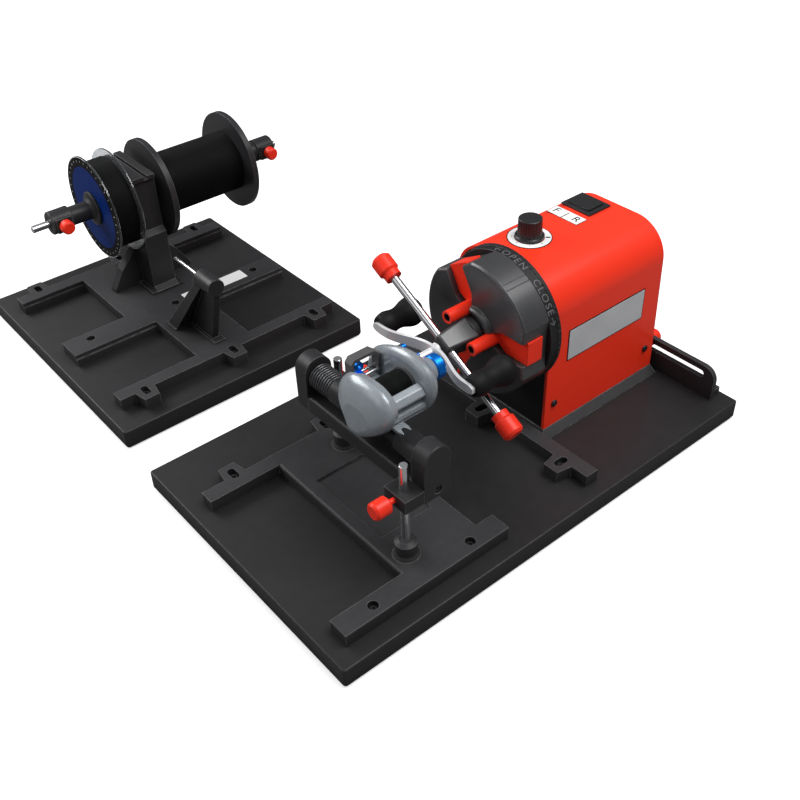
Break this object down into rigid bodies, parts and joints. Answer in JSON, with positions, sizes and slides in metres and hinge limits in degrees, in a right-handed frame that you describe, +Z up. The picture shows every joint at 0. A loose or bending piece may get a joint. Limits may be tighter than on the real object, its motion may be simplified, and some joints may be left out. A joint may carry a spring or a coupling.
{
  "type": "fishing line winder",
  "caption": "Motorised fishing line winder: geared head with three-jaw chuck drives a reel on a height-set rod cradle, beside a board with a stand for supply spools and a line guide post.",
  "frame": {"origin": "middle of the winding board's underside, on the surface it stands on", "axes": "+X along the winding board from the reel to the motor head, +Y across it towards the spool board, +Z up"},
  "size_m": [0.5, 0.6968, 0.2156],
  "materials": {
    "board_black": "fine-grained moulded black board",
    "frame_black": "moulded black frame",
    "screw_steel": "zinc-plated screws",
    "rod_steel": "bright ground rod",
    "cradle_black": "satin black moulding",
    "knob_red": "red moulded knob",
    "soft_black": "soft black sleeve",
    "cap_red": "red rubber cap",
    "reel_black": "dark anodised reel casting",
    "reel_blue": "blue anodised",
    "reel_silver": "silver anodised",
    "knob_black": "black handle grip",
    "chuck_black": "black oxide chuck",
    "jaw_red": "red anodised jaw",
    "housing_red": "red painted shell",
    "base_grey": "dark grey moulding",
    "plate_black": "black front plate",
    "switch_black": "glossy black switch",
    "spool_clear": "smoky spool plastic",
    "spool_black": "black spool plastic",
    "line_clear": "pale fishing line",
    "line_dark": "dark fishing line"
  },
  "bodies": {
    "base": {"winding_board": "board_black", "spool_board": "board_black", "reel_frame": "frame_black", "reel_posts": "rod_steel", "frame_screws": "screw_steel", "head_rail": "frame_black", "head_bracket": "frame_black", "spool_frame": "frame_black", "spool_stand": "frame_black", "spool_axle": "rod_steel", "guide_bracket": "frame_black", "guide_rod": "rod_steel"},
    "cradle": {"cradle_bar": "cradle_black", "cradle_cheeks": "cradle_black", "cheek_screws": "screw_steel", "seat_tube": "cradle_black", "seat_spring": "rod_steel", "fixed_hood": "soft_black", "reel_body": "reel_black", "palm_cover": "reel_silver", "handle_cover": "reel_black", "level_wind_arch": "reel_black", "level_wind_bars": "rod_steel"},
    "near_height_screw": {"height_screw_near": "knob_red"},
    "far_height_screw": {"height_screw_far": "knob_red"},
    "hood": {"sliding_hood": "soft_black"},
    "reel_drum": {"reel_spool": "reel_blue", "reel_line": "line_dark"},
    "line_eye": {"level_wind_eye": "reel_blue"},
    "thumb_lever": {"thumb_bar": "knob_black"},
    "star": {"drag_star": "reel_blue"},
    "casting_cap": {"cast_cap": "reel_blue"},
    "reel_handle": {"handle_arm": "reel_silver"},
    "near_knob": {"handle_knob_near": "knob_black"},
    "far_knob": {"handle_knob_far": "knob_black"},
    "motor_head": {"head_base": "base_grey", "housing_shell": "housing_red", "front_plate": "plate_black", "housing_screws": "screw_steel", "switch_bezel": "switch_black", "power_inlet": "switch_black"},
    "speed_dial": {"speed_knob": "switch_black"},
    "direction_rocker": {"rocker": "switch_black"},
    "head_lock": {"lock_knob": "knob_red"},
    "chuck": {"chuck_body": "chuck_black", "driver_neck": "chuck_black", "driver_bar": "rod_steel", "driver_caps": "cap_red"},
    "scroll": {"scroll_ring": "chuck_black"},
    "jaw_a": {"jaw_1": "jaw_red"},
    "jaw_b": {"jaw_2": "jaw_red"},
    "jaw_c": {"jaw_3": "jaw_red"},
    "filler": {"filler_spool": "spool_clear", "filler_line": "line_clear"},
    "bulk": {"bulk_spool": "spool_black", "bulk_line": "line_clear"},
    "left_collar": {"axle_collar_left": "cradle_black"},
    "right_collar": {"axle_collar_right": "cradle_black"},
    "left_collar_screw": {"collar_screw_left": "knob_red"},
    "right_collar_screw": {"collar_screw_right": "knob_red"}
  },
  "joints": [
    {"name": "head_slide", "type": "slide", "parent": "base", "child": "motor_head", "axis": [0, 1, 0], "range_m": [-0.008, 0.008]},
    {"name": "chuck_spin", "type": "hinge", "parent": "motor_head", "child": "chuck", "pos_m": [0.064, -0.009, 0.144], "axis": [1, 0, 0], "continuous": true},
    {"name": "scroll_turn", "type": "hinge", "parent": "chuck", "child": "scroll", "pos_m": [0.0567, -0.009, 0.144], "axis": [1, 0, 0], "range_deg": [0, 120]},
    {"name": "jaw_a_slide", "type": "slide", "parent": "chuck", "child": "jaw_a", "axis": [0, 0.5, 0.866], "range_m": [0, 0.0082]},
    {"name": "jaw_b_slide", "type": "slide", "parent": "chuck", "child": "jaw_b", "axis": [0, -1, 0], "range_m": [0, 0.0082]},
    {"name": "jaw_c_slide", "type": "slide", "parent": "chuck", "child": "jaw_c", "axis": [0, 0.5, -0.866], "range_m": [0, 0.0082]},
    {"name": "speed_dial_turn", "type": "hinge", "parent": "motor_head", "child": "speed_dial", "pos_m": [0.1087, 0.013, 0.195], "axis": [0, 0, -1], "range_deg": [0, 280]},
    {"name": "rocker_tilt", "type": "hinge", "parent": "motor_head", "child": "direction_rocker", "pos_m": [0.1934, 0.0197, 0.193], "axis": [1, 0, 0], "range_deg": [-9, 9]},
    {"name": "head_lock_turn", "type": "hinge", "parent": "motor_head", "child": "head_lock", "pos_m": [0.2435, -0.045, 0.048], "axis": [1, 0, 0], "range_deg": [0, 360]},
    {"name": "cradle_lift", "type": "slide", "parent": "base", "child": "cradle", "axis": [0, 0, 1], "range_m": [-0.006, 0.008]},
    {"name": "near_height_screw_turn", "type": "hinge", "parent": "cradle", "child": "near_height_screw", "pos_m": [-0.1665, -0.0988, 0.1045], "axis": [1, 0, 0], "range_deg": [0, 360]},
    {"name": "far_height_screw_turn", "type": "hinge", "parent": "cradle", "child": "far_height_screw", "pos_m": [-0.0688, 0.0483, 0.1045], "axis": [1, 0, 0], "range_deg": [0, 360]},
    {"name": "hood_slide", "type": "slide", "parent": "cradle", "child": "hood", "axis": [0, 1, 0], "range_m": [0, 0.0075], "stiffness_N_per_m": 500, "springref_m": -0.01, "deforming": ["seat_spring"]},
    {"name": "reel_spool_spin", "type": "hinge", "parent": "cradle", "child": "reel_drum", "pos_m": [-0.1052, -0.041, 0.158], "axis": [1, 0, 0], "continuous": true},
    {"name": "line_eye_slide", "type": "slide", "parent": "cradle", "child": "line_eye", "axis": [1, 0, 0], "range_m": [-0.003, 0.012]},
    {"name": "thumb_bar_press", "type": "slide", "parent": "cradle", "child": "thumb_lever", "axis": [0, 0, -1], "range_m": [0, 0.003], "stiffness_N_per_m": 300, "springref_m": -0.003},
    {"name": "drag_star_turn", "type": "hinge", "parent": "cradle", "child": "star", "pos_m": [-0.0575, -0.009, 0.144], "axis": [1, 0, 0], "range_deg": [0, 360]},
    {"name": "cast_cap_turn", "type": "hinge", "parent": "cradle", "child": "casting_cap", "pos_m": [-0.0565, -0.041, 0.158], "axis": [1, 0, 0], "range_deg": [0, 360]},
    {"name": "handle_spin", "type": "hinge", "parent": "cradle", "child": "reel_handle", "pos_m": [-0.0313, -0.009, 0.144], "axis": [1, 0, 0], "continuous": true},
    {"name": "near_knob_spin", "type": "hinge", "parent": "reel_handle", "child": "near_knob", "pos_m": [-0.02, -0.0703, 0.144], "axis": [1, 0, 0], "continuous": true},
    {"name": "far_knob_spin", "type": "hinge", "parent": "reel_handle", "child": "far_knob", "pos_m": [-0.02, 0.0523, 0.144], "axis": [1, 0, 0], "continuous": true},
    {"name": "filler_spool_spin", "type": "hinge", "parent": "base", "child": "filler", "pos_m": [-0.1145, 0.45, 0.1415], "axis": [1, 0, 0], "continuous": true},
    {"name": "bulk_spool_spin", "type": "hinge", "parent": "base", "child": "bulk", "pos_m": [-0.0045, 0.45, 0.1415], "axis": [1, 0, 0], "continuous": true},
    {"name": "left_collar_slide", "type": "slide", "parent": "base", "child": "left_collar", "axis": [-1, 0, 0], "range_m": [0, 0.04]},
    {"name": "right_collar_slide", "type": "slide", "parent": "base", "child": "right_collar", "axis": [1, 0, 0], "range_m": [0, 0.04]},
    {"name": "left_collar_screw_turn", "type": "hinge", "parent": "left_collar", "child": "left_collar_screw", "pos_m": [-0.1715, 0.435, 0.1415], "axis": [0, 1, 0], "range_deg": [0, 360]},
    {"name": "right_collar_screw_turn", "type": "hinge", "parent": "right_collar", "child": "right_collar_screw", "pos_m": [0.0935, 0.435, 0.1415], "axis": [0, 1, 0], "range_deg": [0, 360]}
  ],
  "couplings": [
    {"joint": "handle_spin", "follows": "chuck_spin", "ratio": 1},
    {"joint": "reel_spool_spin", "follows": "chuck_spin", "ratio": 6.3},
    {"joint": "jaw_a_slide", "follows": "scroll_turn", "m_per_rad": 0.00382},
    {"joint": "jaw_b_slide", "follows": "scroll_turn", "m_per_rad": 0.00382},
    {"joint": "jaw_c_slide", "follows": "scroll_turn", "m_per_rad": 0.00382}
  ]
}
